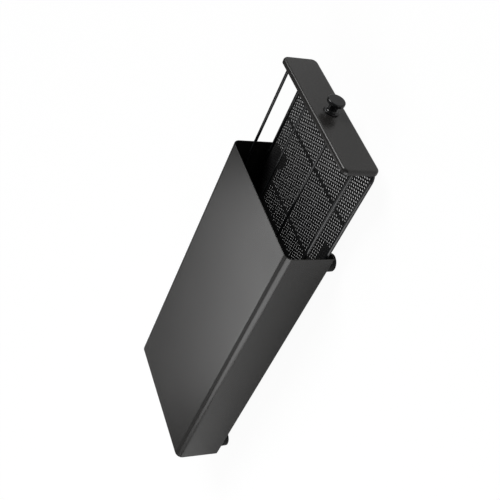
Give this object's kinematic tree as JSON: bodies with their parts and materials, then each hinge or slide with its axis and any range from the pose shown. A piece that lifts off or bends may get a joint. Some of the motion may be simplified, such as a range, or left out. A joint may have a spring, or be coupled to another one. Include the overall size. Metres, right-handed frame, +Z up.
{
  "type": "coffee capsule holder",
  "caption": "Low coffee capsule holder: a folded sheet casing on rubber feet with a pull-out drawer of wire and expanded mesh, parted into lanes, opened by a mushroom knob.",
  "frame": {"origin": "on the counter, in the middle of the whole part with its drawer pulled out as pictured", "axes": "+X to the right of someone who faces the drawer, +Y to the back, along the drawer's travel, +Z up"},
  "size_m": [0.207, 0.597, 0.0775],
  "materials": {
    "powder_coat": "dark grey satin powder coat",
    "wire_coat": "black satin powder coat on wire",
    "mesh_coat": "black powder coat on expanded metal",
    "foot_rubber": "matte black rubber",
    "knob_gloss": "glossy black",
    "screw_steel": "plain steel"
  },
  "bodies": {
    "casing": {"casing_shell": "powder_coat", "casing_back": "powder_coat", "base_strap": "powder_coat", "runner_left": "powder_coat", "runner_right": "powder_coat", "foot_front_left": "foot_rubber", "foot_front_right": "foot_rubber", "foot_rear_left": "foot_rubber", "foot_rear_right": "foot_rubber", "foot_screws": "screw_steel"},
    "drawer": {"divider_left": "wire_coat", "divider_right": "wire_coat", "drawer_front": "powder_coat", "floor_mesh": "mesh_coat", "floor_wire_1": "wire_coat", "floor_wire_2": "wire_coat", "floor_wire_3": "wire_coat", "floor_wire_4": "wire_coat", "knob": "knob_gloss", "knob_screw": "screw_steel", "lower_frame": "wire_coat", "rear_post_1": "wire_coat", "rear_post_2": "wire_coat", "rear_post_3": "wire_coat", "rear_post_4": "wire_coat", "stop_tab_left": "powder_coat", "stop_tab_right": "powder_coat", "upper_rail": "wire_coat"}
  },
  "joints": [
    {"name": "drawer_slide", "type": "slide", "parent": "casing", "child": "drawer", "axis": [0, -1, 0], "range_m": [-0.139, 0.191]}
  ]
}
